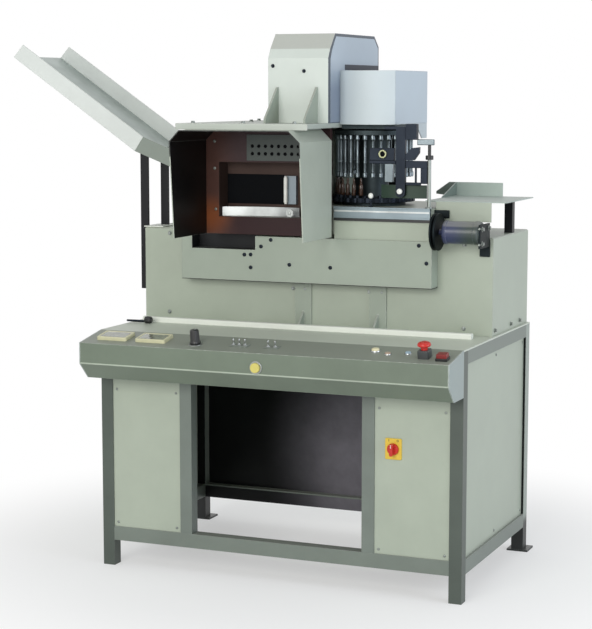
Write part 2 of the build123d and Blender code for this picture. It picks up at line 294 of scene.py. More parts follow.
def stoved(
    name, colour, worn_and_lit_edge="#d4d9d2", roughness=0.42, clouds=0.07, wear=0.5, edge=1.8,
    dust=0.35, shine=0.5, inside=None, middle=(0, 0, 0), patches=(),
):
    """Stoved paint on steel, pale within edge millimetres of its edges as worn coat and as a painted
    highlight, and dusty on upward faces.
    inside is the colour of faces that look towards the middle, for a lined hood. A patch is (colour,
    centre, weights, near, far): its share falls from 1 to 0 as the length of (p - centre) * weights
    grows from near to far."""
    material, tree, place = start_material("stoved_" + name)
    cloud = noise(place, 5.5, 5.0, Roughness=0.62)
    paint = linear(colour)
    for patch, centre, weights, near, far in patches:
        offset = vector("MULTIPLY", vector("SUBTRACT", place, spot(*centre)), weights)
        share = remap(vector("LENGTH", offset), 1.0, 0.0, near, far, "SMOOTHSTEP")
        paint = blend(share, paint, linear(patch))
    paint = toned(paint, remap(cloud, 1 - clouds, 1 + clouds / 2, 0.3, 0.7))
    facing = add(tree, "TexCoord").outputs["Normal"]
    upward = add(tree, "SeparateXYZ", {0: facing}).outputs["Z"]
    paint = blend(remap(upward, 0.0, dust, 0.5, 0.64), paint, linear(dust_colour))
    if inside:
        flat = vector("MULTIPLY", vector("SUBTRACT", place, spot(*middle)), (1, 0, 1))
        inner = number("LESS_THAN", vector("DOT_PRODUCT", flat, facing), -0.01)
        paint = blend(inner, paint, linear(inside))
    # The pale edges are worn coat and also a painted highlight along the edges.
    soft = rounded(tree, edge / 1000)
    bend = vector("DOT_PRODUCT", soft, add(tree, "NewGeometry").outputs["True Normal"])
    thin = remap(bend, 0.0, wear, 0.99, 0.88)
    broken = remap(noise(place, 70.0, 3.0), 0.35, 1.0, 0.35, 0.6)
    return close_material(
        material,
        blend(number("MULTIPLY", thin, broken), paint, linear(worn_and_lit_edge)),
        remap(cloud, roughness - 0.07, roughness + 0.07),
        bump(noise(place, 380.0, 2.0), 0.12, 0.0006, Normal=soft),
        {"Specular IOR Level": shine},
    )


print("stoved paint ready, dust", dust_colour)

# %% Every paint on the machine
# The outer front legs keep the darker base and the inner posts take a lighter grey. The rear legs are
# painted lighter, a painted highlight from the light at the right rear, and the rear bottom is painted near
# black, painted shade under the machine.
leg_light_and_shade_patches = [
    ("#6f7871", (600, 708, 0), (1, 0.7, 0), 0.62, 0.70),
    ("#949e95", (600, 708, 0), (0, 1, 0), 0.10, 0.20),
    ("#161a19", (600, 690, 0), (0, 1, 1), 0.09, 0.13),
]
# The maroon window frame is painted lighter grey at its upper left, lighter brown down its left side and
# orange-brown at its lower left: painted light and painted reflection.
window_light_patches = [
    ("#463638", (262, 238, 1345), (0.3, 0, 1), 0.03, 0.16),
    ("#4c322b", (262, 238, 1200), (1, 0, 0.25), 0.02, 0.13),
    ("#7d4525", (268, 238, 1112), (1, 0, 1.2), 0.0, 0.1),
]
# The tower's side sheet is painted darker low down: painted shade beside the turret cover.
tower_shade_patches = [("#7d899a", (0, 0, 1400), (0, 0, 1), 0.1, 0.22)]
# The dark knee sheets are painted paler around the middle: painted light on the rear of the knee space.
knee_light_patches = [("#86838c", (640, 700, 300), (1, 0, 0.8), 0.0, 0.40)]
motor_patches = [("#35403b", (1176, 238, 1083), (1, 0, 0), 0.02, 0.1)]
paints = {
    "legs": stoved("steel_leg_grey", "#4a534c", "#879088", wear=0.4, clouds=0.14, patches=leg_light_and_shade_patches),
    "feet": stoved("steel_foot_plate", "#262b2a", "#6b716c", wear=0.5, dust=0.15),
    "rails": stoved("steel_rail_grey", "#717a72", "#aab2aa", wear=0.5, clouds=0.12),
    "panel": stoved("steel_panel_grey", "#a5ae9f"),
    "cover": stoved("steel_cover_grey", "#99a396", "#dfe4db", edge=2.5, wear=0.7),
    "console": stoved("steel_console_green", "#697566", "#ccd4ca", edge=3.5, wear=0.8, clouds=0.12),
    # A painted highlight along the console's fold.
    "fold": stoved("steel_fold_highlight", "#a7b2a2", "#c9d1c6", clouds=0.2, wear=0.3),
    "fascia": stoved("steel_switch_plate", "#56635a", "#97a29a", wear=0.6, edge=1.0),
    "end_cap": stoved("steel_end_cap", "#929e9b", "#dfe5e2", edge=3.0, wear=0.8),
    # The deck lip colour is a painted highlight on the top deck's front edge.
    "lip": stoved("steel_deck_edge_highlight", "#b9c0b8", "#e6e9e3", edge=3.0, wear=0.8, dust=0.1),
    "table": stoved("steel_table_pale", "#c3cabc", "#e4e8df", edge=2.5, dust=0.1),
    "trim": stoved("steel_pale_trim", "#e2e6dd", "#f1f3ee", edge=1.5, dust=0.1),
    # dust=0.6 greys the tower's top and chamfer: dust, and painted shade on those upward faces as well.
    "tower": stoved("steel_ivory", "#cdd5cf", "#e8ebe4", clouds=0.05, dust=0.6, edge=2.5),
    # The blue-grey of the tower's and the turret cover's right-hand sides is painted cool light from the
    # right.
    "side_cool_lit": stoved(
        "steel_cool_lit_blue_grey", "#b3c0cb", "#d3dce3", clouds=0.05, dust=0.1, patches=tower_shade_patches
    ),
    "side_dark": stoved("steel_slate", "#4c5661", "#77838f", clouds=0.1, dust=0.1),
    "cover_side_cool_lit": stoved("steel_cover_side_cool_lit", "#bac7d0", "#d9e1e6", clouds=0.04, dust=0.1),
    "silver": stoved("silver_cover", "#bfc9cd", "#eef1f1", 0.5, clouds=0.04, edge=3.0, dust=0.2),
    "chute": stoved("steel_pale_chute", "#d7dcd9", "#f0f2f0", clouds=0.06, dust=0.15, edge=2.5),
    "mouth": stoved("steel_chute_mouth", "#868f87", "#b4bbb4", clouds=0.1),
    "tray": stoved("steel_tray", "#a8b6ae", "#cfd8d2", clouds=0.1, dust=0.25, edge=2.0),
    "deflector": stoved("steel_deflector", "#74827b", "#8c9992", clouds=0.15, wear=0.4, shine=0.3),
    "deck": stoved("steel_deck_grey", "#aeb6ad", "#e0e4de", edge=3.0, wear=0.8, dust=0.2),
    "hood": stoved(
        "steel_hood", "#afb7aa", inside="#070808", middle=(473, 100, 1200), dust=0.1, shine=0.35
    ),
    "maroon": stoved(
        "steel_maroon", "#2f1b1d", "#6a453a", clouds=0.25, wear=0.3, shine=0.2, patches=window_light_patches
    ),
    # The vent plate is painted darker: painted shade.
    "vent": stoved("steel_vent_shaded_grey", "#4c5350", "#6f7673", clouds=0.1, shine=0.3),
    # Dark brown inside the window's recess: painted shade.
    "recess_shade": stoved("steel_brown_recess_shade", "#493a35", "#5f4c44", clouds=0.25, wear=0.3, shine=0.12),
    # Near black inside the knee space: painted shade.
    "knee": stoved(
        "steel_knee_shade", "#151717", "#3c4042", clouds=0.3, wear=0.0, dust=0.1, shine=0.15,
        patches=knee_light_patches,
    ),
    "black": stoved("steel_black", "#15171a", "#3c4042", wear=0.35, dust=0.1, shine=0.25),
    # Navy painted shade for the gap above the turret cover.
    "gap_shade": stoved("steel_navy_gap_shade", "#1d2534", "#56607a", wear=0.3, dust=0.0, shine=0.3),
    "motor": stoved("cast_iron_blue", "#343b5a", "#7b8299", 0.3, clouds=0.2, patches=motor_patches),
    "green": stoved("steel_dark_green", "#24382c", "#4a5a4e", wear=0.4, shine=0.3),
}
print("paints:", sorted(paints))

# %% [markdown]
# The bare metals are brushed stainless sheet, turned and polished steel, and
# steel blackened in a hot salt bath. Brushing leaves grooves finer than this
# picture can show, so they are drawn a little coarser, as a noise stretched
# along the sheet that changes both the roughness and the height.


# %% Bare metals
def bare_metal(name, colour, roughness, stretch, spread=0.1, depth=0.0004, clouds=0.08):
    """Metal with a drawn grain: noise at object coordinates times stretch drives roughness and bump."""
    material, tree, place = start_material(name)
    grain = noise(vector("MULTIPLY", place, stretch), 1.0, 3.0)
    return close_material(
        material,
        toned(linear(colour), remap(noise(place, 14.0, 4.0), 1 - clouds, 1.0, 0.3, 0.7)),
        remap(grain, roughness - spread, roughness + spread),
        bump(grain, 0.3, depth, Normal=rounded(tree, 0.0008)),
        {"Metallic": 1.0},
    )


lathe, coarse = (300, 300, 300), (260, 260, 260)
metals = {
    "rail": bare_metal("drawn_stainless_rail", "#818d93", 0.42, (14, 500, 500), clouds=0.2),
    "strip": bare_metal("rolled_stainless_strip", "#c4c8c8", 0.46, (12, 500, 500), clouds=0.4),
    "bright": bare_metal("polished_turned_steel", "#b9bdbd", 0.25, lathe, spread=0.06),
    "zinc": bare_metal("zinc_plated_steel", "#8e9490", 0.4, (500, 500, 500)),
    "dark": bare_metal("hot_blackened_steel", "#2b3038", 0.42, (200, 200, 200), clouds=0.3),
    "cast": bare_metal("blackened_cast_iron", "#262c2e", 0.55, coarse, clouds=0.35, depth=0.002),
    "hub": bare_metal("oiled_cast_iron", "#434c4f", 0.55, coarse, clouds=0.35, depth=0.002),
    "spindle": bare_metal("ground_spindle_steel", "#7b858a", 0.36, lathe, spread=0.08, clouds=0.3),
    "brass": bare_metal("nickel_plated_brass", "#a3a584", 0.34, lathe),
    "alloy": bare_metal("turned_aluminium", "#a7aba9", 0.36, (600, 600, 60)),
    "worn": bare_metal("worn_chute_steel", "#b7bfbc", 0.5, (12, 500, 30), clouds=0.2),
}
print("metals:", sorted(metals))

# %% [markdown]
# Knobs and buttons are moulded plastic. The skin has a fine spark grain and
# an even, medium gloss, so a small bump and a little roughness are enough.


# %% Moulded plastics
def moulded(name, colour, roughness=0.36, grain=0.0003, dust=0.05, shine=0.5):
    """Moulded thermoplastic: an even colour with a little dust tone and a fine spark grain as bump."""
    material, tree, place = start_material(name)
    dusty = noise(place, 45.0, 4.0)
    return close_material(
        material,
        toned(linear(colour), remap(dusty, 1 - dust, 1 + dust, 0.3, 0.7)),
        remap(dusty, roughness - 0.06, roughness + 0.06),
        bump(noise(place, 1800.0, 1.0), 0.2, grain, Normal=rounded(tree, 0.001)),
        {"IOR": 1.5, "Specular IOR Level": shine},
    )


plastics = {
    "black": moulded("moulded_abs_black", "#1b1c1d"),
    "grey": moulded("moulded_abs_dark_grey", "#3d4142"),
    "red": moulded("moulded_urea_red", "#c0271d", 0.28),
    "dark_red": moulded("moulded_urea_dark_red", "#7c1c1a", 0.3),
    "yellow": moulded("moulded_abs_yellow", "#d9b93c"),
    "lime": moulded("moulded_abs_pale_yellow", "#cbc168"),
    "cream": moulded("moulded_abs_cream", "#cfcdab"),
    "white": moulded("moulded_abs_white", "#e8e9e4"),
    "dial": moulded("printed_dial_card", "#85836f", 0.6, 0.0001),
    "ink": moulded("printed_black_ink", "#202225", 0.6, 0.0001),
    "screen": moulded("matt_inspection_screen", "#090b0e", 0.8, dust=0.15, shine=0.1),
}
print("plastics:", sorted(plastics))

# %% [markdown]
# The ampoules are amber neutral glass. The lamp behind the inspection window
# is off, so its opal cover looks like a pale grey plate. The signal lamps
# have opaque coloured covers.

# %% Glass
def glass(name, colour, roughness, clear=0.0):
    """Glass or a lamp cover: a share clear of transmission, with a slight seed and stain pattern."""
    material, tree, place = start_material(name)
    seed = noise(place, 260.0, 2.0)
    tint = toned(linear(colour), remap(seed, 0.92, 1.05))
    more = {"IOR": 1.5, "Transmission Weight": clear}
    return close_material(material, tint, roughness, bump(seed, 0.1, 0.0004), more)


glasses = {
    "amber": glass("amber_neutral_glass", "#422a1c", 0.12, clear=0.25),
    "opal": glass("opal_lamp_glass", "#8c99a2", 0.4),
    "lens_cream": glass("lens_cream_polycarbonate", "#e3dcb6", 0.3),
    "lens_beige": glass("lens_beige_polycarbonate", "#b09c8a", 0.3),
    "lens_blue": glass("lens_pale_blue_polycarbonate", "#9db6c6", 0.3),
    "window": glass("meter_window_glass", "#eef2ee", 0.05, clear=0.97),
}
print("glasses:", sorted(glasses))

# %% [markdown]
# The model's own sheet-metal parts keep their shapes and only change coat.
# Parts that a more detailed piece will stand for are left out here and
# replaced further down.

# %% Dress the model's own parts
painted = {
    "panel": "front_panels side_panels rear_panels housing machine_bed inspection_housing tray_skirt",
    "cover": "front_cover housing_gussets tower_gussets",
    "black": "rear_guard support_posts",
    "legs": "uprights",
    "feet": "foot_plates",
    "rails": "rails",
    "table": "table_top",
    "trim": "edge_strip",
    "console": "console",
    "end_cap": "console_ends",
    "maroon": "window_frame",
    "vent": "vent_plate",
    "hood": "hood",
    "deck": "top_deck",
    "tower": "tower",
    "silver": "turret_cover",
    "green": "arc_guard",
    "tray": "outfeed_tray",
    "chute": "infeed_chute",
    "mouth": "chute_mouth",
}
bare = {
    "rail": "guide_rail",
    "strip": "track_rail",
    "hub": "turret_column turret_rotor",
    "dark": "star_wheel inspection_arm",
    "cast": "motor_bracket",
}
others = [("viewing_screen", plastics["screen"]), ("lamp_diffuser", glasses["opal"])]
dressed = others + [
    (name, finishes[coat])
    for finishes, table in ((paints, painted), (metals, bare))
    for coat, names in table.items()
    for name in names.split()
]
for name, coat in dressed:
    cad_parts[name].data.materials.clear()
    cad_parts[name].data.materials.append(coat)
print(len(dressed), "parts dressed of", len(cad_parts))

# %% [markdown]
# ## Shapes
# Turned parts are all one idea: a half profile swept about an axis. The
# whole surface is a grid of points, one row per profile point and one column
# per angle. A row may be hexagonal instead of round, so one function makes
# bolts, knobs and lamps alike.


# %% Turned parts
def grid_faces(rows, columns, closed=False):
    """Four-sided faces between neighbouring rows and columns of a grid that wraps round in its columns."""
    last = rows if closed else rows - 1
    row, column = np.meshgrid(np.arange(last), np.arange(columns), indexing="ij")
    over, beside = (row + 1) % rows, (column + 1) % columns
    pairs = ((row, column), (row, beside), (over, beside), (over, column))
    return np.stack([r * columns + c for r, c in pairs], -1).reshape(-1, 4)


def turned(profile, base, axis=(0, 0, 1), sides=32, hexes=(), loop=False, lobes=0, depth=0.0):
    """A profile of (radius, height) millimetres about an axis, which it starts and ends on unless it is a
    loop: p = base + h * axis + r * (side cos a + up sin a).
    Rows in hexes are hexagons, r times cos 30 / cos((a mod 60) - 30).
    Lobes flute it, r times 1 - depth (1 + cos(lobes a)) / 2."""
    rows = list(profile)
    if not loop:
        rows = [(0, rows[0][1]), *rows, *([(0, rows[-1][1])] if rows[-1][0] else [])]
    rows = np.array(rows, float) / 1000
    along = Vector(axis).normalized()
    side = along.orthogonal().normalized()
    up = along.cross(side)
    angle = np.linspace(0, 2 * np.pi, sides, endpoint=False)
    around = np.outer(np.cos(angle), side) + np.outer(np.sin(angle), up)
    flutes = 1 - depth * (1 + np.cos(lobes * angle)) / 2
    radius = np.repeat(rows[:, :1], sides, axis=1) * flutes
    flat = math.cos(math.pi / 6) / np.cos(np.mod(angle, np.pi / 3) - np.pi / 6)
    for row in hexes:
        radius[row] *= flat
    points = np.array(base) + rows[:, 1, None, None] * np.array(along) + radius[:, :, None] * around
    return points.reshape(-1, 3), grid_faces(len(rows), sides, loop)


print("a turned disc has", len(turned([(5, 0), (5, 2)], (0, 0, 0))[0]), "grid points")

# %% [markdown]
# Flat parts need three more shapes. A slab has six faces between two
# corners. A moulding is a rounded rectangle whose rows step in and up, like
# the rim of a meter. A plate is an outline given a thickness. Each takes the
# place function that puts it down, on the table or on the sloping console.


# %% Flat parts
def slab(x, y, z, place=at):
    """A block between the pairs x, y and z: corner i takes the low or high value by the bits of i."""
    bit = np.array([(i & 1, i >> 1 & 1, i >> 2 & 1) for i in range(8)])
    low, high = np.array([x, y, z], float).T
    corner = low + bit * (high - low)
    faces = [(0, 2, 3, 1), (4, 5, 7, 6), (0, 1, 5, 4), (2, 6, 7, 3), (0, 4, 6, 2), (1, 3, 7, 5)]
    return place(*corner.T), np.array(faces)


def moulding(middle, size, corner, profile, place=on_desk, steps=5):
    """A rounded rectangle in rows of (inset, height): corner centres plus r (cos a, sin a), where
    r = corner - inset."""
    quarter = np.arange(4)[:, None] * 90 + np.linspace(0, 90, steps)
    angle = np.radians(quarter).ravel()
    sign_x = np.repeat((1, -1, -1, 1), steps)
    sign_y = np.repeat((1, 1, -1, -1), steps)
    rows = []
    for inset, height in profile:
        half = np.maximum(np.array(size) / 2 - inset, 0)
        r = min(max(corner - inset, 0.2), *half) if min(half) > 0 else 0
        x = sign_x * (half[0] - r) + r * np.cos(angle) if r else 0 * angle
        y = sign_y * (half[1] - r) + r * np.sin(angle) if r else 0 * angle
        rows.append(place(middle[0] + x, middle[1] + y, height))
    return np.concatenate(rows), grid_faces(len(rows), len(angle))


def plate(outline, low, high, place):
    """An outline seen whole from its middle, as four rows: middle, edge, edge, middle, low to high."""
    edge = np.array(outline, float)
    middle = np.broadcast_to(edge.mean(0), edge.shape)
    rows = ((middle, low), (edge, low), (edge, high), (middle, high))
    return np.concatenate([place(*pair.T, h) for pair, h in rows]), grid_faces(4, len(edge))


def across(y, z, x):
    """Places an outline drawn in the side view, y to the rear and z up, at x."""
    return at(x, y, z)


def upright(x, z, forward):
    """Places an outline drawn in the front view, so many millimetres forward of the panels."""
    return at(x, panel_front - forward, z)


print("slab, moulding and plate ready")

# %% [markdown]
# A piece is one or more of these grids in a single mesh. Points that fall
# together, as at a pole, are welded, edges sharper than 35 degrees stay
# crisp, and the piece rides on a body of the machine. The finishes that
# return most often are named here with their material slot.

# %% Assemble a piece
weld_distance, sharp_angle = 2e-6, math.radians(35)


def piece(name, parts, material, slot, body="machine", replaces=(), bevel=0.0):
    """Joins (points, faces) grids into one welded mesh in the model's place, on a body. The slot is not
    used.
    """
    starts = np.cumsum([0] + [len(points) for points, _ in parts])[:-1]
    points = np.concatenate([points for points, _ in parts])
    faces = np.concatenate([faces + start for (_, faces), start in zip(parts, starts)])
    mesh = bpy.data.meshes.new(name)
    mesh.from_pydata(points.tolist(), [], faces.tolist())
    shape = bmesh.new()
    shape.from_mesh(mesh)
    bmesh.ops.remove_doubles(shape, verts=shape.verts, dist=weld_distance)
    bmesh.ops.recalc_face_normals(shape, faces=shape.faces)
    shape.to_mesh(mesh)
    shape.free()
    mesh.polygons.foreach_set("use_smooth", [True] * len(mesh.polygons))
    mesh.set_sharp_from_angle(angle=sharp_angle)
    mesh.materials.append(material)
    made = bpy.data.objects.new(name, mesh)
    link(made)
    if bevel:
        rounding = made.modifiers.new("rounding", "BEVEL")
        rounding.width = bevel / 1000
        rounding.segments = 2
        rounding.harden_normals = False
    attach(made, body)
    if replaces:
        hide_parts(*replaces)
    return made


LEFT, RIGHT, FRONT, BACK, UP = (-1, 0, 0), (1, 0, 0), (0, -1, 0), (0, 1, 0), (0, 0, 1)
zinc = metals["zinc"], "bright_steel"
polished = metals["bright"], "bright_steel"
dark = metals["dark"], "dark_steel"
black = plastics["black"], "black_plastic"
ink = plastics["ink"], "black_plastic"
white = plastics["white"], "cream_plastic"
red = plastics["red"], "red_plastic"
print("ready to make pieces")

# %% [markdown]
# ## Fasteners
# Panels are held by round-headed screws with a hexagon socket; brackets that
# carry load have hexagon heads on washers. Both are turned profiles, placed
# as the photograph shows them and at the panel corners elsewhere.


# %% Screws and bolts
def scaled(profile, size):
    """A profile drawn for a radius of one, at its real size."""
    return [(r * size, h * size) for r, h in profile]


socket_head = [(1, -0.4), (1, 0.25), (0.82, 0.5)]
socket_head += [(0.5, 0.6), (0.42, 0.58), (0.42, 0.2)]


def socket_screw(x, y, z, axis, size):
    """Round-headed socket screw: a domed head of the given radius with a hexagon recess."""
    return turned(scaled(socket_head, size), at(x, y, z), axis, sides=24, hexes=(5, 6))


def hexagon_bolt(x, y, z, axis, size):
    """Hexagon-headed bolt on a round washer."""
    washer = [(size * 1.35, -1), (size * 1.35, 1.4)]
    head = [(size, 1.4), (size, 6.2), (size * 0.86, 7)]
    return turned(washer + head, at(x, y, z), axis, sides=24, hexes=(3, 4, 5))


panel_screw = 4.2
front_screws = [(x, z) for x in (54, 262, 938, 1146) for z in (142, 572)] + [(54, 701), (1146, 701)]
side_screws = [(y, z) for y in (56, 354, 652) for z in (144, 699)]
rear_screws = [(x, z) for x in (56, 320, 584, 616, 880, 1144) for z in (144, 420, 699)]
piece(
    "front_panel_screws",
    [socket_screw(x, panel_front, z, FRONT, panel_screw) for x, z in front_screws],
    *zinc,
)
piece(
    "side_panel_screws",
    [socket_screw(panel_left, y, z, LEFT, panel_screw) for y, z in side_screws]
    + [socket_screw(panel_right, y, z, RIGHT, panel_screw) for y, z in side_screws],
    *zinc,
)
piece(
    "rear_panel_screws",
    [socket_screw(x, panel_back, z, BACK, panel_screw) for x, z in rear_screws],
    *zinc,
)
print("panel screws fitted")

# %% Bolts of the housing and its cover
cover_bolts = [(386, 990), (408, 991), (408, 950), (444, 1018), (478, 1040)]
cover_bolts += [(542, 963), (681, 959), (973, 1038), (998, 984)]
housing_bolts = [(91, 1046), (87, 786), (1100, 781), (1100, 1040)]
deck_bolts = [(300, 60), (300, 560), (362, 360), (470, 60), (470, 560), (640, 60)]
window_screws = [(289, 1264), (292, 1134), (289, 1350), (640, 1134), (640, 1264)]
piece("cover_bolts", [socket_screw(x, cover_front, z, FRONT, 6.2) for x, z in cover_bolts], *dark)
piece(
    "housing_bolts",
    [hexagon_bolt(x, housing_front, z, FRONT, 5.2) for x, z in housing_bolts]
    + [hexagon_bolt(x, housing_front, 882, FRONT, 5) for x in (530, 573, 790, 833)]
    + [hexagon_bolt(panel_right, y, 777, RIGHT, 5.2) for y in (336, 510, 611)],
    *zinc,
)
tower_bolts = [hexagon_bolt(x, tower_front, z, FRONT, 4.4) for x, z in ((514, 1585), (618, 1569))]
piece("tower_bolts", tower_bolts, *dark)
piece("deck_bolts", [hexagon_bolt(x, y, deck_top, UP, 6) for x, y in deck_bolts], *zinc)
piece("window_screws", [socket_screw(x, window_front, z, FRONT, 5) for x, z in window_screws], *zinc)
print("housing, deck and window bolts fitted")

# %% [markdown]
# ## Instruments on the console
# Two panel meters sit at the left. Each is a cream bezel that steps down to
# a printed card, a scale drawn as an arc of fine bars, a needle on its pivot
# and a flat window.


# %% A bar between two points
def bar(start, end, width, low, high, place=on_desk):
    """A flat bar of a width between two points in a plane: its corners are the ends, plus and minus
    half a width square to the run."""
    start, end = np.array(start, float), np.array(end, float)
    run = (end - start) / np.linalg.norm(end - start)
    half = np.array((-run[1], run[0])) * width / 2
    return plate([start - half, end - half, end + half, start + half], low, high, place)


def ticks(middle, near, far, first, last, count, width, low, high):
    """Scale bars on an arc of the console: bar i runs from radius near to far at angle
    first + i (last - first) / (count - 1)."""
    angle = np.radians(np.linspace(first, last, count))
    way = np.stack([np.sin(angle), np.cos(angle)], -1)
    return [bar(middle + near * w, middle + far * w, width, low, high) for w in way]


print("bars and scales ready")

# %% Panel meters
meter_middles = [np.array((93.0, 70.0)), np.array((226.0, 70.0))]
card_size = (84, 48)
bezel = [(0, 0), (0, 9), (1.4, 10.6), (6, 11), (7.6, 10.4), (8.2, 7), (33, 7)]
card = [(0, 7.1), (0, 7.6), (24, 7.6)]
window = [(42, 9.7), (0, 9.7), (0, 10.3), (42, 10.3)]
cream = plastics["cream"], "cream_plastic"
piece("meter_bezels", [moulding(m, (102, 66), 5, bezel) for m in meter_middles], *cream, replaces=["meters"])
cards = [moulding(m, card_size, 1, card) for m in meter_middles]
piece("meter_cards", cards, plastics["dial"], "cream_plastic")
pivots = [m + (0, -17) for m in meter_middles]
scale_bars = [b for q in pivots for b in ticks(q, 27, 33, -48, 48, 13, 0.9, 7.7, 8.1)]
leans = zip(pivots, (-0.5, 0.35))
needles = [bar(q, q + (32 * math.sin(a), 32 * math.cos(a)), 1.1, 8.3, 8.7) for q, a in leans]
hub = [(4.5, 7.7), (4.5, 9), (0, 9.4)]
hubs = [turned(hub, on_desk(*q), desk_normal, 20) for q in pivots]
piece("meter_scales", scale_bars + needles + hubs, *ink)
windows = [moulding(m, card_size, 1, window) for m in meter_middles]
piece("meter_windows", windows, glasses["window"], "opal_glass")
print("two meters with", len(scale_bars), "scale bars")

# %% [markdown]
# The speed knob is a tall fluted grip over a printed dial plate. The flutes
# are a cosine added to the radius, twelve round the knob. It turns with its
# own body, while the dial plate stays on the console.

# %% Speed knob and its dial
knob_middle, knob_flutes, knob_turn, dial_bars = np.array((376.0, 50.0)), 12, 140, 11
grip = [(16.6, 2.6), (17, 3.4), (17, 8), (15.5, 10), (14.6, 12), (14, 42)]
grip += [(12.6, 45.4), (11, 46.3)]
knob = turned(grip, on_desk(*knob_middle), desk_normal, 72, lobes=knob_flutes, depth=0.07)
piece("speed_knob_grip", [knob], *black, "knob", ["speed_knob"])
knob_line = bar(knob_middle + (0, 3), knob_middle + (0, 12), 1.6, 46.2, 46.6)
piece("speed_knob_line", [knob_line], *white, "knob")
dial_rows = [(22, 0), (22, 1.4), (21.4, 2)]
dial = turned(dial_rows, on_desk(*knob_middle), desk_normal, 48)
piece("dial_plate", [dial], metals["alloy"], "stainless", replaces=["switch_plates"])
dial_marks = ticks(knob_middle, 18, 21, -knob_turn, knob_turn, dial_bars, 0.9, 2, 2.2)
piece("dial_marks", dial_marks, *ink)
print("knob with", knob_flutes, "flutes and", dial_bars, "marks")

# %% [markdown]
# Further right are five toggle switches on two small plates, each a chromed
# lever in a hexagon nut, then three signal lamps, the mushroom stop on its
# grey box and a square push button. A round yellow button sits on the
# console's front.

# %% Toggle switches and signal lamps
toggle_plate = [(13, 0), (0, 0), (0, 1.2), (0.6, 1.6), (13, 1.6)]
toggle_plates = [moulding((x, 64), (w, 28), 3, toggle_plate) for x, w in ((517, 64), (623, 50))]
piece("toggle_plates", toggle_plates, paints["fascia"], "console_paint")
toggle_spots = [on_desk(x, 64) for x in (498, 517, 536, 612, 635)]
toggle_nut = [(6.4, 0), (6.4, 3.4), (5.4, 4.4), (4, 4.6), (4, 6.4)]
toggle_lever = [(1.7, 6), (2.2, 12), (2.9, 18.5), (2.2, 20.8), (0, 21.2)]
piece(
    "toggle_switches",
    [turned(toggle_nut, foot, desk_normal, 24, hexes=(1, 2, 3)) for foot in toggle_spots]
    + [turned(toggle_lever, foot, desk_normal, 12) for foot in toggle_spots],
    *polished,
    replaces=["switches_and_lamps"],
)
signal_lamps = {
    "run_lamp": (on_desk(946, 86), 15, "lens_cream"),
    "heat_lamp": (on_desk(992, 64), 11, "lens_beige"),
    "power_lamp": (on_desk(1049, 80), 11, "lens_blue"),
}
lamp_rim = [(1.0, 0), (1.0, 0.16), (0.94, 0.26), (0.82, 0.3), (0.8, 0.2)]
lamp_dome = [(0.79, 0.2), (0.79, 0.42), (0.7, 0.56), (0.5, 0.64), (0.24, 0.67), (0, 0.68)]
rims = [turned(scaled(lamp_rim, size), foot, desk_normal, 36) for foot, size, _ in signal_lamps.values()]
piece("lamp_rims", rims, *polished)
for name, (foot, size, lens) in signal_lamps.items():
    dome = turned(scaled(lamp_dome, size), foot, desk_normal, 36)
    piece(name, [dome], glasses[lens], "opal_glass")
print(len(toggle_spots), "toggles and", len(signal_lamps), "lamps")

# %% Stop button and push buttons
stop, square, front_button = (1108.0, 56.0), (1166.0, 44.0), at(599, desk_front, 693)
stop_rows = [(17, 0), (0, 0), (0, 22), (1.6, 24), (17, 24)]
piece("stop_box", [moulding(stop, (34, 36), 4, stop_rows)], plastics["grey"], "black_plastic")
mushroom = [(10, 24), (10, 33), (17, 34.2), (19.6, 36.4), (20, 39), (19.2, 42)]
mushroom += [(16.5, 45.2), (11, 47.3), (0, 48)]
stop_head = turned(mushroom, on_desk(*stop), desk_normal, 48)
piece("stop_mushroom", [stop_head], *red, replaces=["push_buttons"])
rim_rows = [(17, 0), (0, 0), (0, 7), (1.2, 8), (17, 8)]
piece("square_button_rim", [moulding(square, (36, 34), 3, rim_rows)], *black)
cap_rows = [(14, 8), (0, 8), (0, 18), (1.6, 19.8), (14, 20)]
piece("square_button", [moulding(square, (31, 29), 3, cap_rows)], plastics["dark_red"], "red_plastic")
round_rim = [(20, 0), (20, 2.6), (18.6, 4), (16.4, 4), (16.2, 3)]
round_rim = turned(round_rim, front_button, FRONT, 40)
piece("front_button_rim", [round_rim], metals["alloy"], "bright_steel")
round_cap = [(15, 3), (15, 10), (13.6, 11.6), (9, 12), (0, 11.4)]
piece("front_button", [turned(round_cap, front_button, FRONT, 40)], plastics["lime"], "yellow_plastic")
print("stop, square and round buttons fitted")

# %% [markdown]
# Where the console's front folds back towards the knees, a pale line along
# the fold is a painted highlight. It is a strip under a millimetre thick.

# %% Painted highlight on the console's fold
fold_height, fold_width = 670, 4.5
fold = slab((1, 1199), (desk_front - 0.7, desk_front), (fold_height, fold_height + fold_width))
piece("console_fold_highlight", [fold], paints["fold"], "console_paint")
print("fold at", fold_height, "mm")

# %% [markdown]
# The main switch is a yellow plate with a red handle. The handle rides on
# the switch body, which turns a quarter. The two printed marks are the usual
# bar for on and ring for off.

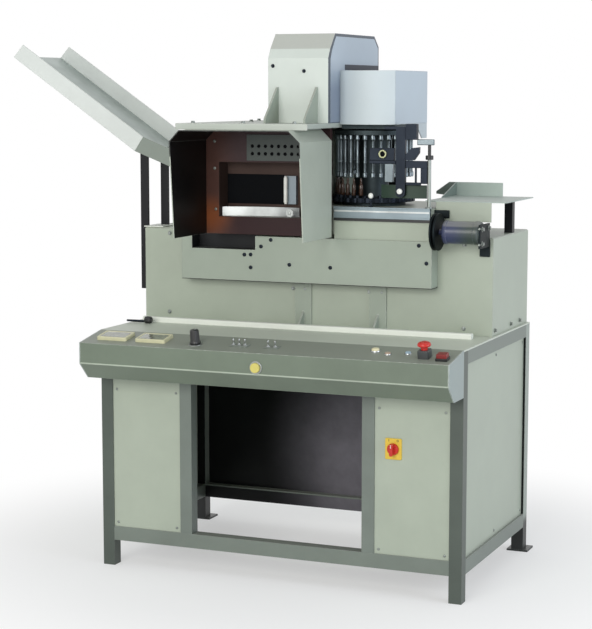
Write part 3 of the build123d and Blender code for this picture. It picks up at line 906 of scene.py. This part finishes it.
# %% Main switch
switch_middle = np.array((984.0, 452.0))
switch_rows = [(26, 0), (0, 0), (0, 3), (1, 4), (26, 4)]
switch_plate = moulding(switch_middle, (52, 64), 4, switch_rows, upright)
piece("main_switch_plate", [switch_plate], plastics["yellow"], "yellow_plastic")
on_bar = bar(switch_middle + (-14, 22), switch_middle + (-14, 29), 1.4, 4, 4.3, upright)
ring_rows = [(2.2, 4), (3.4, 4), (3.4, 4.3), (2.2, 4.3)]
off_ring = turned(ring_rows, at(998, panel_front, 477.5), FRONT, 24, loop=True)
piece("main_switch_marks", [on_bar, off_ring], *ink)
disc_rows = [(16.6, 0), (18, 1.6), (18, 5), (16.4, 8)]
handle_disc = turned(disc_rows, at(984, -1.5, 452), FRONT, 48)
grip_rows = [(5.5, 12), (0, 12), (0, 26.4), (1.4, 28.2), (5.5, 28.4)]
handle_grip = moulding(switch_middle, (11, 37), 4, grip_rows, upright)
piece("main_switch_handle", [handle_disc, handle_grip], *red, "switch", ["switch_knob"])
handle_line = bar(switch_middle + (0, 6), switch_middle + (0, 16), 1.8, 28.3, 28.6, upright)
piece("main_switch_line", [handle_line], *white, "switch")
print("main switch fitted")

# %% [markdown]
# A hand lever lies on the table at the left end of the housing: a thin
# blackened rod with a fluted plastic grip.

# %% Table lever
rod_rows = [(2.6, 0), (3.4, 2), (4, 40), (4, 66)]
piece("lever_rod", [turned(rod_rows, at(-6, 186, 767), RIGHT, 20)], *dark, replaces=["table_lever"])
lever_grip = [(8, 0), (11, 2), (12, 6), (12, 17), (10.5, 23), (7, 26)]
piece("lever_grip", [turned(lever_grip, at(60, 186, 772), RIGHT, 48, lobes=8, depth=0.09)], *black)
print("lever fitted")

# %% [markdown]
# ## The turret
# This is the heart of the machine. Each of thirty spindles takes one ampoule
# between its cup and the star wheel, spins it and brakes it sharply, so that
# the liquid keeps turning and any speck shows. The spindle is one turned
# profile repeated on the circle, and so is the ampoule with its waist and
# flared tip.

# %% Spindles and ampoules
turret_x, turret_y, turret_radius = 763, 420, 118
spindle_count, ampoule_count, first_ampoule = 30, 9, 174
spindle_step = 360 / spindle_count
spindle_angles = np.radians(np.arange(spindle_count) * spindle_step)
ampoule_angles = np.radians(first_ampoule + np.arange(ampoule_count) * spindle_step)


def round_turret(angles, z):
    """Points on the pitch circle about the turret's axis: (x + r cos a, y + r sin a, z)."""
    return at(turret_x + turret_radius * np.cos(angles), turret_y + turret_radius * np.sin(angles), z)


spindle = [(5.6, 0), (7, 1.6), (7, 12), (6.2, 15), (4.5, 17), (4.5, 44), (5.4, 45.5)]
spindle += [(5.4, 50), (4.5, 51.5), (4.5, 112), (5.6, 116), (8, 118.5), (8, 130.5), (7.2, 132)]
spindles = [turned(spindle, foot, UP, 12) for foot in round_turret(spindle_angles, 1240)]
piece("spindle_rods", spindles, metals["spindle"], "bright_steel", "turret", ["spindles"])
ampoule = [(5.9, 0), (6.5, 0.9), (6.5, 30.5), (5.6, 33.6), (3.4, 37), (2.9, 39.5)]
ampoule += [(3.5, 42.5), (3.3, 50), (2.4, 53.4), (0, 54)]
ampoules = [turned(ampoule, foot, UP, 16) for foot in round_turret(ampoule_angles, 1184)]
piece("ampoule_row", ampoules, glasses["amber"], "amber_glass", "turret", ["ampoules"])
print(len(spindles), "spindles,", len(ampoules), "ampoules")

# %% [markdown]
# In front of the turret hang a sensor and its guides. The small blocks keep
# the model's sizes, and each takes its own finish: a pale block, a dark one,
# a ring round the sensor's eye, and a bright post under a black cap.

# %% Sensor, guide bars and post
sensor_bars = [slab((806, 892), (258, 268), (1286, 1296)), slab((808, 888), (256, 270), (1296.2, 1334))]
piece("sensor_bar", sensor_bars, *dark, replaces=["sensor_head"], bevel=0.8)
pale = metals["spindle"], "stainless"
piece("sensor_block", [slab((858, 884), (256, 270), (1230, 1286))], *pale, bevel=1.0)
eye = at(852, 256, 1316)
eye_ring = [(8, 0), (12.6, 0), (13, 0.6), (13, 5.2), (12, 6), (9, 6), (8, 4.6)]
piece("sensor_ring", [turned(eye_ring, eye, FRONT, 32, loop=True)], metals["brass"], "stainless")
eye_rows = [(8, 0), (8, 2), (4, 3.6), (0, 4)]
piece("sensor_eye", [turned(eye_rows, eye, FRONT, 28)], plastics["screen"], "screen_black")
guide_bars = [
    slab((922, 992), (265, 275), (1274, 1296)),
    slab((971, 992), (265, 275), (1226, 1274)),
    slab((952, 957), (266, 274), (1230, 1274)),
    slab((922, 971), (266, 274), (1221, 1230)),
]
piece("guide_bars", guide_bars, *dark, replaces=["guide_post"], bevel=0.8)
piece("top_lever", [slab((958, 1012), (268, 278), (1344, 1362))], *pale, bevel=2.0)
post = [(12, 0), (12, 5), (5.5, 6.5), (5.5, 150)]
piece("guide_post_rod", [turned(post, at(998, 270, bed_top), UP, 28)], *zinc)
cap = [(11, 0), (12, 1), (12, 11.6), (10.8, 13), (5, 13.2), (5, 44)]
piece("guide_post_cap", [turned(cap, at(998, 270, 1300), UP, 28)], *black)
white_knob = [(4, 0), (4, 2), (8.4, 4), (9, 8), (7.6, 11.6), (4, 13), (0, 13.4)]
piece("arm_knob", [turned(white_knob, at(907, 262, 1202), FRONT, 28)], *white)
index_foot = at(807, 272, bed_top)
stand = [(7, 0), (7, 3), (3.4, 4.5), (3.4, 30)]
piece("index_post", [turned(stand, index_foot, UP, 20)], *dark)
index_tip = [(4, 28), (7, 31), (8, 36), (7, 41), (4, 44), (0, 45)]
piece("index_knob", [turned(index_tip, index_foot, UP, 24)], *white)
print("sensor and guides fitted")

# %% [markdown]
# ## The drive
# At the right end a small motor drives a belt pulley. The motor's body has
# end caps with a step, and the pulley has a V groove for the belt and a hub.

# %% Motor and pulley
axle_y, axle_z = 238, 1083
motor = [(10, 0), (10, 14), (30, 14), (34, 16), (36, 19), (36, 27), (34.6, 28)]
motor += [(34.6, 112), (36, 113), (36, 127), (33, 132)]
body = turned(motor, at(1044, axle_y, axle_z), RIGHT, 64)
piece("motor_body", [body], paints["motor"], "motor_paint", replaces=["drive_motor"])
pulley = [(10, 2), (10, 0.4), (20, 0.4), (20, 3), (26, 4), (44, 4), (50, 0.6), (56, 0)]
pulley += [(57, 1), (57, 5), (49.5, 9), (57, 13), (57, 17), (56, 18), (24, 18)]
wheel = turned(pulley, at(1026, axle_y, axle_z), RIGHT, 72)
piece("belt_pulley", [wheel], metals["cast"], "black_paint", "pulley", ["drive_pulley"])
piece(
    "bracket_bolts",
    [hexagon_bolt(1182, y, z, RIGHT, 6) for y, z in ((222, 1096), (222, 1052), (290, 1096))]
    + [hexagon_bolt(1179, 206, z, FRONT, 2.6) for z in (1098, 1050)],
    *zinc,
)
print("drive fitted")

# %% [markdown]
# ## Linings and trim
# Dark sheets line the window's recess and the reject notch: painted shade
# for the dark inside them. The linings are thin plates laid on the model's
# own walls, as are the black strips of painted shadow under the rail and
# round the front cover's left and bottom sides, black discs of painted shade
# at the backs of the vent holes, the near-black sheets of painted shade inside
# the knee space, painted paler round its middle, and a bright line along the
# rail. A lamp tube, a feed wheel and the rail's clamp are the last small
# things on the track.


# %% Linings
def lined(x, y, z, roof):
    """Sheets a millimetre thick on the inside of a box that is open to the front: its left and right
    sides, its floor, a roof if roof is 1 and not 0, and its back."""
    inner = (x[0] + 1, x[1] - 1)
    sheets = [slab((x[0], inner[0]), y, z), slab((inner[1], x[1]), y, z), slab(inner, y, (z[0], z[0] + 1))]
    if roof:
        sheets.append(slab(inner, y, (z[1] - 1, z[1])))
    return sheets + [slab(inner, (y[1] - 1, y[1]), (z[0] + 1, z[1] - roof))]


# The recess and notch sheets are painted shade for the dark inside them.
recess = lined((303, 600), (238.5, 306), (1111, 1285), 1)
piece("recess_shade_lining", recess, paints["recess_shade"], "maroon_paint")
piece("notch_shade_lining", lined((200, 424), (251, 306), (1006, 1050), 0), paints["black"], "black_paint")
# Black strips of painted shadow: under the guide rail, and on the left and bottom sides of the proud front
# cover.
painted_shadow_strips = [
    slab((692, 1008), (250, 262), (1108, 1117)),
    slab((161.6, 164), (254, 310), (905, 1050)),
    slab((161.6, 1014), (254, 310), (904.6, 907)),
]
piece("painted_shadow_strips", painted_shadow_strips, *black)
vent_row, vent_pitch, vent_middle, vent_height = 11, 22.5, 534, 1324
vent_spots = [
    (vent_middle + vent_pitch * (i - 5), vent_height + dz) for i in range(vent_row) for dz in (-12, 12)
]
# Black discs at the backs of the vent holes are painted shade in the holes.
vent_back = [(6.7, 0.1), (6.7, 0.5)]
vent_hole_shade_discs = [turned(vent_back, at(x, window_front, z), FRONT, 18) for x, z in vent_spots]
piece("vent_hole_shade", vent_hole_shade_discs, plastics["screen"], "screen_black")
# Dark sheets inside the knee space: painted shade where little light reaches.
knee_shade_sheets = [
    slab((41, 1159), (699.2, 700), (124, 714)),
    slab((41, 1159), (667.2, 668), (83, 123)),
    slab((41, 1159), (667.2, 699.2), (123, 123.8)),
    slab((1, 40), (667.2, 668), (124, 714)),
    slab((1160, 1199), (667.2, 668), (124, 714)),
]
piece("knee_shade_lining", knee_shade_sheets, paints["knee"], "black_paint")
piece("rail_line", [slab((694, 1006), (248.4, 249), (1136, 1141))], metals["strip"], "stainless")
lamp_tube = [(5, 0), (5, 4), (6.5, 5), (6.5, 82), (5, 83), (5, 87)]
piece("lamp_tube", [turned(lamp_tube, at(516, 282, 1153), UP, 24)], plastics["white"], "opal_glass")
feed_rows = [(6, 0), (6, 3), (7, 3.4), (13, 3.4), (14, 4.4), (14, 7), (5, 7), (4.4, 8.6), (0, 9)]
feed_wheel = turned(feed_rows, at(540, 262, 1126), FRONT, 48, lobes=8, depth=0.12)
piece("feed_wheel", [feed_wheel], metals["alloy"], "bright_steel")
clamp = slab((1008, 1056), (284, 296), (1122, 1146))
piece("rail_clamp", [clamp], metals["cast"], "dark_steel", bevel=2.0)
print("linings, lamp tube, feed wheel and rail line laid")

# %% [markdown]
# The tower's right side is a blue-grey sheet inside a darker rim; its
# blue-grey is painted cool light from the right, darker low down as painted
# shade. A navy strip in the gap above the turret cover is painted shade, and
# the cover's own side is the same pale blue, also painted cool light.

# %% Side sheets
tower_side = [(187, 1410), (187, 1608), (203, 1637), (244, 1684), (588, 1684), (628, 1650), (628, 1410)]
tower_inner = [(203, 1412), (203, 1606), (216, 1634), (249, 1675), (584, 1675), (619, 1646), (619, 1412)]
piece("tower_rim_sheet", [plate(tower_side, 698, 698.8, across)], paints["side_dark"], "tower_paint")
piece("tower_cool_lit_side_sheet", [plate(tower_inner, 698.6, 699.8, across)], paints["side_cool_lit"], "tower_paint")
# The navy strip is painted shade in the gap above the turret cover.
piece("tower_gap_shade_strip", [slab((698, 700.6), (322, 624), (1573, 1590))], paints["gap_shade"], "black_paint")
cover_side_cool_lit = slab((880, 881.4), (288, 588), (1407, 1570))
piece("cover_cool_lit_side_sheet", [cover_side_cool_lit], paints["cover_side_cool_lit"], "tower_paint")
print("side sheets laid")

# %% [markdown]
# The chute's floor wears a thin steel sheet, scratched along its length by
# the trays that slide down it. A pale strip along the front edge of the top
# deck is a painted highlight where light catches that edge. A folded lip
# finishes the corner of the housing, and two darker sheets the inner walls of
# the outfeed tray.

# %% Chute floor, deck edge highlight and housing lip
chute_top_x, chute_top_z = -510, 1625.2
chute_slope = math.atan2(310.6, 458.3)


def on_chute(run, y, height):
    """A point on the steep floor: run millimetres down its slope from the top, height off it."""
    x = chute_top_x + run * math.cos(chute_slope) + height * math.sin(chute_slope)
    return at(x, y, chute_top_z - run * math.sin(chute_slope) + height * math.cos(chute_slope))


chute_sheet = slab((2, 551), (345.6, 648.4), (0.1, 1.0), on_chute)
piece("chute_floor_sheet", [chute_sheet], metals["worn"], "stainless")
piece("deck_edge_highlight", [slab((260, 698), (18.4, 20), (1391, deck_top))], paints["lip"], "panel_paint")
piece("housing_lip", [slab((-4, 66), (308, 420), (1064.2, 1067))], paints["trim"], "panel_paint")
tray_inside = paints["deflector"], "guard_green"
deflector = [(912.5, 1178.4), (976.5, 1171.6), (976.5, 1216.6), (956, 1216.6), (912.5, 1185.6)]
piece("deflector_sheet", [plate(deflector, panel_front - 597, panel_front - 596, upright)], *tray_inside)
tray_wall = [(458, 1175), (596, 1175), (596, 1216), (458, 1177)]
piece("tray_wall_sheet", [plate(tray_wall, 980, 981, across)], *tray_inside)
print("sheets and strips laid")

# %% [markdown]
